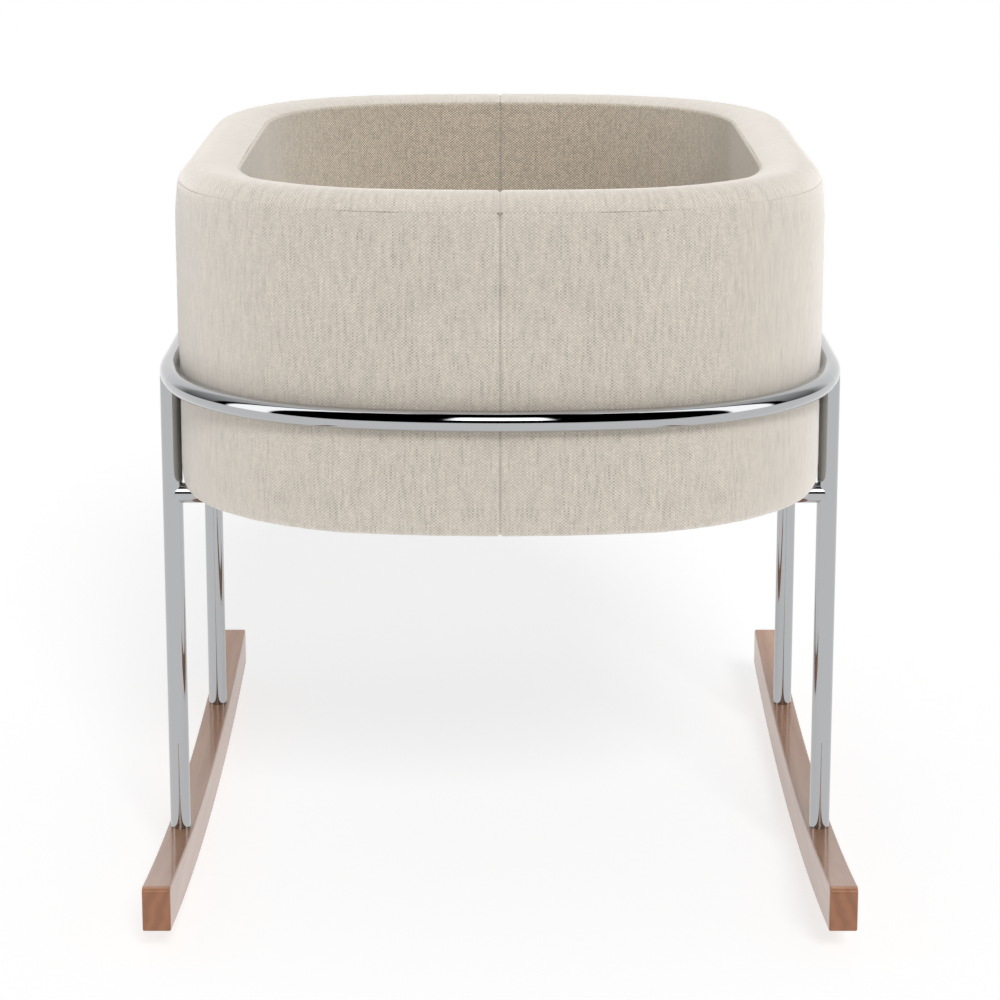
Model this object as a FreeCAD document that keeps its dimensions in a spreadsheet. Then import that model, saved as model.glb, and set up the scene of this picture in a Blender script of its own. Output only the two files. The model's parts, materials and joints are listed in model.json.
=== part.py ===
import FreeCAD, Part
import Sketcher
import math
import os

# Rocking bassinet: a padded oval tub inside a bent steel tube hoop, on four straight legs
# that stand on two curved wooden rockers.
# Millimetres. X runs across the bassinet, Y along it and along the rockers, Z up.
# The origin is on the floor under the middle of the bassinet.

Vector = FreeCAD.Vector
Rotation = FreeCAD.Rotation
Placement = FreeCAD.Placement
TO_YZ = Rotation(Vector(1, 1, 1), 120)
TO_X = Rotation(Vector(0, 1, 0), 90)

doc = FreeCAD.newDocument("RockingBassinet")

# ---------------------------------------------------------------- driving dimensions

SIZES = [
    # steel tube frame
    ("tube_diameter", 19),
    ("tube_wall", 1.5),
    ("hoop_width", 615),
    ("hoop_length", 859),
    ("hoop_height", 489.5),
    ("hoop_bend_reach", 266.5),
    ("shoulder_radius", 339),
    ("corner_radius", 229),
    ("end_radius", 622),
    ("leg_setback", 225),
    ("cope_trim", 3),
    ("cross_tube_height", 374.8),
    # wooden rockers
    ("rocker_thickness", 25.4),
    ("rocker_length", 857),
    ("rocker_depth", 41),
    ("rocker_radius", 3450),
    ("rocker_end_round", 6),
    ("rocker_edge_round", 1.6),
    # leg bolts
    ("leg_bolt_diameter", 8),
    ("leg_bolt_head_diameter", 13),
    ("leg_bolt_head_height", 8),
    ("leg_bolt_reach", 20),
    ("leg_washer_diameter", 16),
    ("leg_washer_thickness", 1.6),
    ("counterbore_diameter", 18),
    ("counterbore_depth", 16),
    ("insert_length", 30),
    ("bolt_clearance", 0.25),
    # tub
    ("hoop_gap", 1),
    ("seat_gap", 0.2),
    ("wall_height", 282.5),
    ("wall_padding", 58.5),
    ("crown_round", 16),
    ("crown_drop", 6.8),
    ("fabric", 1.5),
    ("outer_foam", 8),
    ("shell", 9),
    ("base_thickness", 12),
    ("hem_width", 30),
    # tub fixings
    ("base_bolt_spacing", 360),
    ("base_bolt_diameter", 6),
    ("base_bolt_head_diameter", 11),
    ("base_bolt_head_height", 3.5),
    ("tee_nut_barrel", 8),
    ("tee_nut_barrel_length", 9),
    ("tee_nut_flange", 19),
    ("tee_nut_flange_thickness", 1.2),
    # mattress
    ("mattress_thickness", 50),
    ("mattress_clearance", 2),
    ("mattress_seat_gap", 0.3),
    ("mattress_cover", 1.2),
]

sheet = doc.addObject("Spreadsheet::Sheet", "Sizes")
for row, (alias, value) in enumerate(SIZES, 1):
    sheet.set(f"A{row}", alias)
    sheet.set(f"B{row}", str(value))
    sheet.setAlias(f"B{row}", alias)
doc.recompute()

# Heights and places that several pieces share, as expressions on the sheet.
TUBE = "Sizes.tube_diameter / 2"
BORE = "(Sizes.tube_diameter / 2 - Sizes.tube_wall)"
HALF_WIDTH = "Sizes.hoop_width / 2"
HALF_LENGTH = "Sizes.hoop_length / 2"
LEG_Y = f"({HALF_LENGTH} - Sizes.leg_setback)"
PAST_STRAIGHT = "max(0; Sizes.hoop_bend_reach - Sizes.leg_setback)"
LEG_X = (f"({HALF_WIDTH} - Sizes.shoulder_radius"
         f" + sqrt(Sizes.shoulder_radius ^ 2 - {PAST_STRAIGHT} ^ 2))")
ROCKER_TOP_RADIUS = "(Sizes.rocker_radius - Sizes.rocker_depth)"
FOOT_Z = f"(Sizes.rocker_radius - sqrt({ROCKER_TOP_RADIUS} ^ 2 - {LEG_Y} ^ 2))"
FOOT_UNDER_Z = f"(Sizes.rocker_radius - sqrt(Sizes.rocker_radius ^ 2 - {LEG_Y} ^ 2))"
COUNTERBORE_TOP = f"({FOOT_UNDER_Z} + Sizes.counterbore_depth)"
BASKET_INSET = f"({TUBE} + Sizes.hoop_gap)"
BASKET_END = f"({HALF_LENGTH} - {BASKET_INSET})"
BASKET_BOTTOM = f"(Sizes.cross_tube_height + {TUBE} + Sizes.seat_gap)"
BASE_BOTTOM = f"({BASKET_BOTTOM} + Sizes.fabric)"
BASE_TOP = f"({BASE_BOTTOM} + Sizes.base_thickness)"
FLOOR_TOP = f"({BASE_TOP} + Sizes.fabric)"
RIM_SEAM = f"({BASKET_BOTTOM} + Sizes.wall_height)"
CROWN_SPAN = "(Sizes.wall_padding - Sizes.crown_round)"
CROWN_RADIUS = f"(({CROWN_SPAN} ^ 2 + Sizes.crown_drop ^ 2) / (2 * Sizes.crown_drop))"
CROWN_TOP = f"({RIM_SEAM} + Sizes.crown_round)"
SHELL_OUT = "(Sizes.fabric + Sizes.outer_foam)"
SHELL_IN = f"({SHELL_OUT} + Sizes.shell)"
LINER_OUT = "(Sizes.wall_padding - Sizes.fabric)"
MATTRESS_EDGE = "(Sizes.wall_padding + Sizes.mattress_clearance)"
MATTRESS_BOTTOM = f"({FLOOR_TOP} + Sizes.mattress_seat_gap)"

CORNERS = [("left", "front", -1, -1), ("right", "front", 1, -1),
           ("left", "rear", -1, 1), ("right", "rear", 1, 1)]


def value(expression):
    """The number that an expression on the sheet has now."""
    return float(sheet.evalExpression(expression))


def bind(item, **expressions):
    """Tie properties of an item to expressions; x, y and z tie its place."""
    for name, expression in expressions.items():
        path = f"Placement.Base.{name}" if name in ("x", "y", "z") else name
        item.setExpression(path, str(expression))
    return item


# ---------------------------------------------------------------- building helpers

def cylinder(name, radius, height, x="0", y="0", z="0", turn=None):
    item = doc.addObject("Part::Cylinder", name)
    if turn:
        item.Placement = Placement(Vector(), turn)
    return bind(item, Radius=radius, Height=height, x=x, y=y, z=z)


def cut(name, base, tool):
    item = doc.addObject("Part::Cut", name)
    item.Base = base
    item.Tool = tool
    return item


def common(name, base, tool):
    item = doc.addObject("Part::Common", name)
    item.Base = base
    item.Tool = tool
    return item


def fuse(name, shapes):
    item = doc.addObject("Part::MultiFuse", name)
    item.Shapes = shapes
    return item


def group(name, shapes):
    """Separate identical solids kept together as one sub-part."""
    item = doc.addObject("Part::Compound", name)
    item.Links = shapes
    return item


def dimension(sketch, kind, *arguments):
    """Add one dimension to a sketch and tie it to its expression."""
    *geometry, expression = arguments
    index = sketch.addConstraint(Sketcher.Constraint(kind, *geometry, value(expression)))
    sketch.setExpression(f"Constraints[{index}]", str(expression))


def arc(centre, radius, start, end):
    circle = Part.Circle(Vector(centre[0], centre[1], 0), Vector(0, 0, 1), radius)
    return Part.ArcOfCircle(circle, start, end)


def oval_centres(half_width, half_length, reach, radii):
    """Centres of the shoulder, corner and end arcs of the first quadrant."""
    shoulder, corner, end = radii
    first = (half_width - shoulder, half_length - reach)
    last = (0, half_length - end)
    across = last[0] - first[0]
    along = last[1] - first[1]
    distance = math.hypot(across, along)
    near = shoulder - corner
    far = end - corner
    foot = (near ** 2 - far ** 2 + distance ** 2) / (2 * distance)
    side = math.sqrt(near ** 2 - foot ** 2)
    middle = (first[0] + (foot * across - side * along) / distance,
              first[1] + (foot * along + side * across) / distance)
    return [first, middle, last]


def oval_sketch(name, inset):
    """The oval of the hoop's tube, moved inwards by inset: a straight side, a shoulder arc,
    a corner arc and an end arc in each quadrant, starting at the middle of the rear end."""
    half_width = f"{HALF_WIDTH} - ({inset})"
    half_length = f"{HALF_LENGTH} - ({inset})"
    reach = f"Sizes.hoop_bend_reach - ({inset})"
    names = ("shoulder_radius", "corner_radius", "end_radius")
    arc_radii = [f"Sizes.{alias} - ({inset})" for alias in names]
    radii = [value(expression) for expression in arc_radii]
    centres = oval_centres(value(half_width), value(half_length), value(reach), radii)
    first, middle, last = centres
    turns = [0,
             math.atan2(middle[1] - first[1], middle[0] - first[0]),
             math.atan2(middle[1] - last[1], middle[0] - last[0]),
             math.pi / 2]
    quadrant = [(centres[i], radii[i], turns[i], turns[i + 1]) for i in range(3)]
    side_x = value(half_width)
    side_y = value(half_length) - value(reach)

    outline = [arc((-c[0], c[1]), r, math.pi - b, math.pi - a) for c, r, a, b in quadrant[::-1]]
    outline.append(Part.LineSegment(Vector(-side_x, side_y, 0), Vector(-side_x, -side_y, 0)))
    outline += [arc((-c[0], -c[1]), r, math.pi + a, math.pi + b) for c, r, a, b in quadrant]
    outline += [arc((c[0], -c[1]), r, 2 * math.pi - b, 2 * math.pi - a)
                for c, r, a, b in quadrant[::-1]]
    outline.append(Part.LineSegment(Vector(side_x, -side_y, 0), Vector(side_x, side_y, 0)))
    outline += [arc(c, r, a, b) for c, r, a, b in quadrant]

    sketch = doc.addObject("Sketcher::SketchObject", name)
    sketch.addGeometry(outline, False)
    count = len(outline)
    for index in range(count):
        following = (index + 1) % count
        sketch.addConstraint(Sketcher.Constraint("Tangent", index, 2, following, 1))
    left, right, rear, front = 3, 10, 0, 7
    ends, corners, shoulders = (0, 6, 7, 13), (1, 5, 8, 12), (2, 4, 9, 11)
    for same, expression in zip((shoulders, corners, ends), arc_radii):
        dimension(sketch, "Radius", same[0], expression)
        for other in same[1:]:
            sketch.addConstraint(Sketcher.Constraint("Equal", same[0], other))
    for side in (left, right):
        sketch.addConstraint(Sketcher.Constraint("Vertical", side))
    dimension(sketch, "DistanceX", left, 1, -1, 1, half_width)
    dimension(sketch, "DistanceX", -1, 1, right, 1, half_width)
    straight = f"{half_length} - ({reach})"
    dimension(sketch, "DistanceY", -1, 1, left, 1, straight)
    dimension(sketch, "DistanceY", left, 2, -1, 1, straight)
    dimension(sketch, "DistanceY", right, 1, -1, 1, straight)
    dimension(sketch, "DistanceY", -1, 1, right, 2, straight)
    for end in (rear, front):
        sketch.addConstraint(Sketcher.Constraint("PointOnObject", end, 1, -2))
        sketch.addConstraint(Sketcher.Constraint("PointOnObject", end, 3, -2))
    dimension(sketch, "DistanceY", -1, 1, rear, 1, half_length)
    dimension(sketch, "DistanceY", front, 1, -1, 1, half_length)
    return sketch


def prism(name, inset, bottom, top):
    """The tub's outline moved inwards by inset, filled from one height to another."""
    outline = basket_outline
    if inset != "0":
        outline = doc.addObject("Part::Offset2D", f"{name}_outline")
        outline.Source = basket_outline
        bind(outline, Value=f"-({inset})")
    item = doc.addObject("Part::Extrusion", name)
    item.Base = outline
    item.DirMode = "Custom"
    item.Dir = Vector(0, 0, 1)
    item.Solid = True
    return bind(item, LengthFwd=top, LengthRev=f"-({bottom})")


def ring(name, outer_inset, inner_inset, bottom, top):
    outer = prism(f"{name}_outside", outer_inset, bottom, top)
    inner = prism(f"{name}_inside", inner_inset, bottom, top)
    return cut(name, outer, inner)


def half(name, whole, side):
    """The part of a shape on one side of the middle plane X = 0."""
    box = doc.addObject("Part::Box", f"{name}_side")
    bind(box, Length="Sizes.hoop_width", Width="2 * Sizes.hoop_length",
         Height=f"2 * {CROWN_TOP}", y="-Sizes.hoop_length")
    if side < 0:
        bind(box, x="-Sizes.hoop_width")
    return common(name, whole, box)


def sweep(name, profile, spine):
    item = doc.addObject("Part::Sweep", name)
    item.Sections = [profile]
    item.Spine = (spine, [])
    item.Solid = True
    item.Frenet = False
    return item


def upright_sketch(name):
    """An empty sketch standing in the plane X = 0, with Y to the right and Z up."""
    sketch = doc.addObject("Sketcher::SketchObject", name)
    sketch.Placement = Placement(Vector(), TO_YZ)
    return sketch


def body_sketch(body, name, role):
    """An empty sketch on one of a body's own origin planes."""
    sketch = body.newObject("Sketcher::SketchObject", name)
    planes = [plane for plane in body.Origin.OriginFeatures if plane.Role == role]
    sketch.AttachmentSupport = [(planes[0], "")]
    sketch.MapMode = "FlatFace"
    return sketch


subparts = []


def keep(item, label):
    """Take an item as a finished sub-part under its own label."""
    item.Label = label
    subparts.append(item)
    return item


# ---------------------------------------------------------------- steel tube frame

def ring_profile(name, radius):
    """A circle at the start of the hoop's path, in the plane across it."""
    sketch = upright_sketch(name)
    place = Vector(value(HALF_LENGTH), value("Sizes.hoop_height"), 0)
    sketch.addGeometry(Part.Circle(place, Vector(0, 0, 1), value(radius)), False)
    dimension(sketch, "Radius", 0, radius)
    dimension(sketch, "DistanceX", -1, 1, 0, 3, HALF_LENGTH)
    dimension(sketch, "DistanceY", -1, 1, 0, 3, "Sizes.hoop_height")
    return sketch


hoop_path = bind(oval_sketch("hoop_path", "0"), z="Sizes.hoop_height")
hoop_solid = sweep("hoop_solid", ring_profile("hoop_outside", TUBE), hoop_path)
hoop_bore = sweep("hoop_bore", ring_profile("hoop_inside", BORE), hoop_path)
keep(cut("hoop", hoop_solid, hoop_bore), "hoop_tube")

# The legs stand inside the hollow curve of the rockers' tops and are coped under the hoop.
rocker_top_curve = cylinder("rocker_top_curve", ROCKER_TOP_RADIUS, "2 * Sizes.hoop_width",
                            x="-Sizes.hoop_width", z="Sizes.rocker_radius", turn=TO_X)
leg_solids = {}
for side, end, x_sign, y_sign in CORNERS:
    name = f"leg_{end}_{side}"
    place = {"x": f"{x_sign} * {LEG_X}", "y": f"{y_sign} * {LEG_Y}"}
    top = f"(Sizes.hoop_height - Sizes.cope_trim)"
    solid = cylinder(f"{name}_solid", TUBE, top, **place)
    bore = cylinder(f"{name}_bore", BORE, top, **place)
    leg_solids[name] = solid
    standing = common(f"{name}_standing", solid, rocker_top_curve)
    hollow = cut(f"{name}_hollow", standing, bore)
    keep(cut(f"{name}_tube", hollow, hoop_solid), name)

# The cross tubes join the legs at the front and the rear and carry the tub. Each is drilled
# through for the two bolts that hold the tub down.
BOLT_PLACES = [f"{x_sign} * Sizes.base_bolt_spacing / 2" for x_sign in (-1, 1)]
BOLT_HOLE = "(Sizes.base_bolt_diameter / 2 + Sizes.bolt_clearance)"
TUBE_UNDER = f"(Sizes.cross_tube_height - {TUBE})"
for end, y_sign in (("front", -1), ("rear", 1)):
    name = f"cross_tube_{end}"
    reach = f"({LEG_X} - Sizes.cope_trim)"
    place = {"x": f"-{reach}", "y": f"{y_sign} * {LEG_Y}", "z": "Sizes.cross_tube_height"}
    solid = cylinder(f"{name}_solid", TUBE, f"2 * {reach}", turn=TO_X, **place)
    bore = cylinder(f"{name}_bore", BORE, f"2 * {reach}", turn=TO_X, **place)
    hollow = cut(f"{name}_hollow", solid, bore)
    removed = [leg_solids[f"leg_{end}_{side}"] for side in ("left", "right")]
    for index, x in enumerate(BOLT_PLACES):
        removed.append(cylinder(f"{name}_hole_{index}", BOLT_HOLE, "2 * Sizes.tube_diameter",
                                x=x, y=f"{y_sign} * {LEG_Y}",
                                z="Sizes.cross_tube_height - Sizes.tube_diameter"))
    keep(cut(f"{name}_tube", hollow, fuse(f"{name}_removed", removed)), name)

# ---------------------------------------------------------------- wooden rockers

LEG_BOLT_HOLE = "(Sizes.leg_bolt_diameter / 2 + Sizes.bolt_clearance)"


def rocker(name, x_sign):
    """A curved plank: two parallel arcs, upright ends, eased edges and two bolt holes."""
    body = doc.addObject("PartDesign::Body", f"{name}_body")
    centre = (0, value("Sizes.rocker_radius"))
    low = value("Sizes.rocker_radius")
    high = value(ROCKER_TOP_RADIUS)
    end_y = value("Sizes.rocker_length / 2")
    low_turn = math.asin(end_y / low)
    high_turn = math.asin(end_y / high)
    down = -math.pi / 2

    def at(radius, turn):
        return Vector(radius * math.sin(turn), centre[1] - radius * math.cos(turn), 0)

    sketch = body_sketch(body, f"{name}_profile", "YZ_Plane")
    sketch.addGeometry([arc(centre, low, down - low_turn, down + low_turn),
                        Part.LineSegment(at(low, low_turn), at(high, high_turn)),
                        arc(centre, high, down - high_turn, down + high_turn),
                        Part.LineSegment(at(high, -high_turn), at(low, -low_turn))], False)
    for first, first_point, second, second_point in ((0, 2, 1, 1), (1, 2, 2, 2),
                                                     (2, 1, 3, 1), (3, 2, 0, 1)):
        sketch.addConstraint(Sketcher.Constraint("Coincident", first, first_point,
                                                 second, second_point))
    sketch.addConstraint(Sketcher.Constraint("Coincident", 0, 3, 2, 3))
    sketch.addConstraint(Sketcher.Constraint("PointOnObject", 0, 3, -2))
    for line in (1, 3):
        sketch.addConstraint(Sketcher.Constraint("Vertical", line))
    dimension(sketch, "Radius", 0, "Sizes.rocker_radius")
    dimension(sketch, "Radius", 2, ROCKER_TOP_RADIUS)
    dimension(sketch, "DistanceY", -1, 1, 0, 3, "Sizes.rocker_radius")
    dimension(sketch, "DistanceX", -1, 1, 1, 1, "Sizes.rocker_length / 2")
    dimension(sketch, "DistanceX", 3, 2, -1, 1, "Sizes.rocker_length / 2")

    plank = body.newObject("PartDesign::Pad", f"{name}_plank")
    plank.Profile = sketch
    plank.Midplane = True
    bind(plank, Length="Sizes.rocker_thickness")

    holes = body_sketch(body, f"{name}_holes", "XY_Plane")
    bores = body_sketch(body, f"{name}_counterbores", "XY_Plane")
    for index, y_sign in enumerate((-1, 1)):
        for plan, radius in ((holes, LEG_BOLT_HOLE), (bores, "Sizes.counterbore_diameter / 2")):
            place = Vector(0, y_sign * value(LEG_Y), 0)
            plan.addGeometry(Part.Circle(place, Vector(0, 0, 1), value(radius)), False)
            dimension(plan, "Radius", index, radius)
            plan.addConstraint(Sketcher.Constraint("PointOnObject", index, 3, -2))
            ends = (index, 3, -1, 1) if y_sign < 0 else (-1, 1, index, 3)
            dimension(plan, "DistanceY", *ends, LEG_Y)
    drill = body.newObject("PartDesign::Pocket", f"{name}_drill")
    drill.Profile = holes
    drill.Reversed = True
    bind(drill, Length="2 * Sizes.rocker_depth")
    sink = body.newObject("PartDesign::Pocket", f"{name}_sink")
    sink.Profile = bores
    sink.Reversed = True
    bind(sink, Length=COUNTERBORE_TOP)
    doc.recompute()

    def across(edge):
        return edge.BoundBox.YLength < 0.01 and edge.BoundBox.ZLength < 0.01

    def corner(edge):
        return across(edge) and edge.BoundBox.ZMin > value(FOOT_Z)

    def outer_edge(edge):
        long_edge = edge.BoundBox.YLength > value("Sizes.rocker_length") / 2
        return long_edge or (across(edge) and edge.BoundBox.ZMin < value(FOOT_Z))

    eased = sink
    for title, wanted, size in (("ends", corner, "Sizes.rocker_end_round"),
                                ("edges", outer_edge, "Sizes.rocker_edge_round")):
        chosen = [f"Edge{number}" for number, edge in enumerate(eased.Shape.Edges, 1)
                  if wanted(edge)]
        rounded = body.newObject("PartDesign::Fillet", f"{name}_{title}")
        rounded.Base = (eased, chosen)
        bind(rounded, Radius=size)
        doc.recompute()
        eased = rounded
    body.Tip = eased
    bind(body, x=f"{x_sign} * {LEG_X}")
    return keep(body, name)


rocker("rocker_left", -1)
rocker("rocker_right", 1)

# ---------------------------------------------------------------- leg bolts

inserts = []
bolts = []
washers = []
WASHER_Z = f"({COUNTERBORE_TOP} - Sizes.leg_washer_thickness)"
INSERT_Z = f"({FOOT_Z} + Sizes.leg_washer_thickness)"
BOLT_END_Z = f"({INSERT_Z} + Sizes.leg_bolt_reach)"
for side, end, x_sign, y_sign in CORNERS:
    place = {"x": f"{x_sign} * {LEG_X}", "y": f"{y_sign} * {LEG_Y}"}
    name = f"{end}_{side}"
    head = cylinder(f"leg_bolt_head_{name}", "Sizes.leg_bolt_head_diameter / 2",
                    "Sizes.leg_bolt_head_height",
                    z=f"{WASHER_Z} - Sizes.leg_bolt_head_height", **place)
    shank = cylinder(f"leg_bolt_shank_{name}", "Sizes.leg_bolt_diameter / 2",
                     f"{BOLT_END_Z} - {WASHER_Z}", z=WASHER_Z, **place)
    bolts.append(fuse(f"leg_bolt_{name}", [head, shank]))
    disc = cylinder(f"washer_disc_{name}", "Sizes.leg_washer_diameter / 2",
                    "Sizes.leg_washer_thickness", z=WASHER_Z, **place)
    plug = cylinder(f"insert_plug_{name}", BORE, "Sizes.insert_length", z=INSERT_Z, **place)
    for solids, blank, title in ((washers, disc, "washer"), (inserts, plug, "insert")):
        hole = cylinder(f"{title}_hole_{name}", "Sizes.leg_bolt_diameter / 2",
                        "Sizes.hoop_height", **place)
        solids.append(cut(f"{title}_{name}", blank, hole))
keep(group("leg_bolt_set", bolts), "leg_bolts")
keep(group("leg_washer_set", washers), "leg_bolt_washers")
keep(group("leg_insert_set", inserts), "leg_inserts")

# ---------------------------------------------------------------- tub: base and walls

basket_outline = oval_sketch("basket_outline", BASKET_INSET)


def base_bolt_holes(name, radius, bottom, height):
    """Upright round holes at the four places where the tub is bolted down."""
    holes = []
    for x in BOLT_PLACES:
        for y_sign in (-1, 1):
            holes.append(cylinder(f"{name}_{len(holes)}", radius, height, x=x,
                                  y=f"{y_sign} * {LEG_Y}", z=bottom))
    return fuse(name, holes)


FLANGE_Z = f"({BASE_TOP} - Sizes.tee_nut_flange_thickness)"
base_blank = prism("base_blank", SHELL_OUT, BASE_BOTTOM, BASE_TOP)
barrel_holes = base_bolt_holes("barrel_holes", "Sizes.tee_nut_barrel / 2",
                               BASE_BOTTOM, "Sizes.base_thickness")
flange_seats = base_bolt_holes("flange_seats", "Sizes.tee_nut_flange / 2",
                               FLANGE_Z, "Sizes.base_thickness")
base_holes = fuse("base_holes", [barrel_holes, flange_seats])
keep(cut("base_board", base_blank, base_holes), "base_panel")

keep(ring("shell_ring", SHELL_OUT, SHELL_IN, BASE_TOP, RIM_SEAM), "shell_wall")
keep(ring("outer_foam_ring", "Sizes.fabric", SHELL_OUT, BASE_BOTTOM, RIM_SEAM), "foam_outer")
keep(ring("inner_foam_ring", SHELL_IN, LINER_OUT, BASE_TOP, RIM_SEAM), "foam_inner")

# The base's under-cover is stapled over the turned-in hem of the outer fabric panels.
under_cover = prism("under_cover", "Sizes.hem_width", BASKET_BOTTOM, BASE_BOTTOM)
cover_holes = base_bolt_holes("under_cover_holes", BOLT_HOLE, BASKET_BOTTOM,
                              "Sizes.base_thickness")
keep(cut("under_cover_cut", under_cover, cover_holes), "dust_cover")

tub_solid = prism("tub_solid", "0", BASKET_BOTTOM, RIM_SEAM)
tub_hollow = prism("tub_hollow", "Sizes.fabric", BASE_BOTTOM, RIM_SEAM)
hem_hole = prism("hem_hole", "Sizes.hem_width", BASKET_BOTTOM, BASE_BOTTOM)
outer_skin = cut("outer_skin", tub_solid, fuse("outer_skin_inside", [tub_hollow, hem_hole]))

# ---------------------------------------------------------------- tub: padded rim

def crown_profile(name, skin):
    """Section of the rim above its outer seam: a round outer edge, then a slow fall to the
    inner edge. The skin thickness is taken off the top and the outside."""
    sketch = upright_sketch(name)
    outer_x = value(f"{BASKET_END} - {skin}")
    inner_x = value(f"{BASKET_END} - Sizes.wall_padding")
    seam_z = value(RIM_SEAM)
    middle_x = value(f"{BASKET_END} - Sizes.crown_round")
    crown = value(f"{CROWN_RADIUS} - {skin}")
    centre_z = value(f"{CROWN_TOP} - {CROWN_RADIUS}")
    fall = math.asin((middle_x - inner_x) / crown)
    inner_z = centre_z + crown * math.cos(fall)
    edge = value(f"Sizes.crown_round - {skin}")
    inner_top = Vector(inner_x, inner_z, 0)
    inner_low = Vector(inner_x, seam_z, 0)
    outer_low = Vector(outer_x, seam_z, 0)
    sketch.addGeometry([arc((middle_x, seam_z), edge, 0, math.pi / 2),
                        arc((middle_x, centre_z), crown, math.pi / 2, math.pi / 2 + fall),
                        Part.LineSegment(inner_top, inner_low),
                        Part.LineSegment(inner_low, outer_low)], False)
    sketch.addConstraint(Sketcher.Constraint("Tangent", 0, 2, 1, 1))
    for first, second in ((1, 2), (2, 3), (3, 0)):
        sketch.addConstraint(Sketcher.Constraint("Coincident", first, 2, second, 1))
    sketch.addConstraint(Sketcher.Constraint("Vertical", 2))
    sketch.addConstraint(Sketcher.Constraint("Horizontal", 3))
    sketch.addConstraint(Sketcher.Constraint("PointOnObject", 0, 3, 3))
    dimension(sketch, "Radius", 0, f"Sizes.crown_round - {skin}")
    dimension(sketch, "Radius", 1, f"{CROWN_RADIUS} - {skin}")
    dimension(sketch, "DistanceX", -1, 1, 0, 1, f"{BASKET_END} - {skin}")
    dimension(sketch, "DistanceX", -1, 1, 2, 1, f"{BASKET_END} - Sizes.wall_padding")
    dimension(sketch, "DistanceY", -1, 1, 0, 1, RIM_SEAM)
    dimension(sketch, "DistanceX", -1, 1, 1, 3, f"{BASKET_END} - Sizes.crown_round")
    return sketch


crown_full = sweep("crown_full", crown_profile("crown_outside", "0"), basket_outline)
crown_core = sweep("crown_core", crown_profile("crown_inside", "Sizes.fabric"), basket_outline)
rim_skin = cut("rim_skin", crown_full, crown_core)
rim_padding = cut("rim_padding", crown_core,
                  prism("rim_inside", LINER_OUT, f"{RIM_SEAM} - Sizes.fabric", CROWN_TOP))
keep(rim_padding, "rim_foam")

# The inner fabric runs from the floor fabric up to the underside of the rim band.
liner_blank = ring("liner_blank", LINER_OUT, "Sizes.wall_padding", BASE_TOP, CROWN_TOP)
above_liner = prism("above_liner", "0", RIM_SEAM, f"{CROWN_TOP} + Sizes.fabric")
rim_void = cut("rim_void", above_liner, crown_core)
liner_skin = cut("liner_skin", liner_blank, rim_void)

for side, sign in (("left", -1), ("right", 1)):
    keep(half(f"outer_cover_{side}", outer_skin, sign), f"cover_outer_{side}")
    keep(half(f"rim_cover_{side}", rim_skin, sign), f"rim_band_{side}")
    keep(half(f"inner_cover_{side}", liner_skin, sign), f"liner_{side}")
keep(prism("floor_cover", "Sizes.wall_padding", BASE_TOP, FLOOR_TOP), "floor_fabric")

# ---------------------------------------------------------------- tub fixings

base_bolts = []
tee_nuts = []
for x in BOLT_PLACES:
    for y_sign in (-1, 1):
        number = len(base_bolts)
        place = {"x": x, "y": f"{y_sign} * {LEG_Y}"}
        head = cylinder(f"base_bolt_head_{number}", "Sizes.base_bolt_head_diameter / 2",
                        "Sizes.base_bolt_head_height",
                        z=f"{TUBE_UNDER} - Sizes.base_bolt_head_height", **place)
        shank = cylinder(f"base_bolt_shank_{number}", "Sizes.base_bolt_diameter / 2",
                         f"{BASE_TOP} - {TUBE_UNDER}", z=TUBE_UNDER, **place)
        base_bolts.append(fuse(f"base_bolt_{number}", [head, shank]))
        barrel = cylinder(f"tee_barrel_{number}", "Sizes.tee_nut_barrel / 2",
                          "Sizes.tee_nut_barrel_length",
                          z=f"{BASE_TOP} - Sizes.tee_nut_barrel_length", **place)
        flange = cylinder(f"tee_flange_{number}", "Sizes.tee_nut_flange / 2",
                          "Sizes.tee_nut_flange_thickness", z=FLANGE_Z, **place)
        thread = cylinder(f"tee_thread_{number}", "Sizes.base_bolt_diameter / 2",
                          BASE_TOP, **place)
        blank = fuse(f"tee_blank_{number}", [barrel, flange])
        tee_nuts.append(cut(f"tee_nut_{number}", blank, thread))
keep(group("base_bolt_set", base_bolts), "base_bolts")
keep(group("tee_nut_set", tee_nuts), "tee_nuts")

# ---------------------------------------------------------------- mattress

CORE_EDGE = f"({MATTRESS_EDGE} + Sizes.mattress_cover)"
MATTRESS_TOP = f"({MATTRESS_BOTTOM} + Sizes.mattress_thickness)"
CORE_HEIGHTS = (f"{MATTRESS_BOTTOM} + Sizes.mattress_cover",
                f"{MATTRESS_TOP} - Sizes.mattress_cover")
mattress_solid = prism("mattress_solid", MATTRESS_EDGE, MATTRESS_BOTTOM, MATTRESS_TOP)
core_space = prism("core_space", CORE_EDGE, *CORE_HEIGHTS)
keep(cut("mattress_skin", mattress_solid, core_space), "mattress_cover")
keep(prism("mattress_foam", CORE_EDGE, *CORE_HEIGHTS), "mattress_core")

# ---------------------------------------------------------------- check and write

doc.recompute()
for item in doc.Objects:
    if "Invalid" in item.State or "Error" in item.State:
        raise RuntimeError(f"{item.Label} failed: {item.State}")
for item in subparts:
    if item.Shape.isNull() or not item.Shape.isValid():
        raise RuntimeError(f"{item.Label} has no valid shape")

os.makedirs("parts", exist_ok=True)
for item in subparts:
    item.Shape.exportStep(f"parts/{item.Label}.step")
print(f"{len(subparts)} sub-parts written")
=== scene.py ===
"""Rocking bassinet: fabric, wood and chrome finishes over its packed construction."""

import json
import math

import bpy
from mathutils import Matrix, Vector, noise


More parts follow.
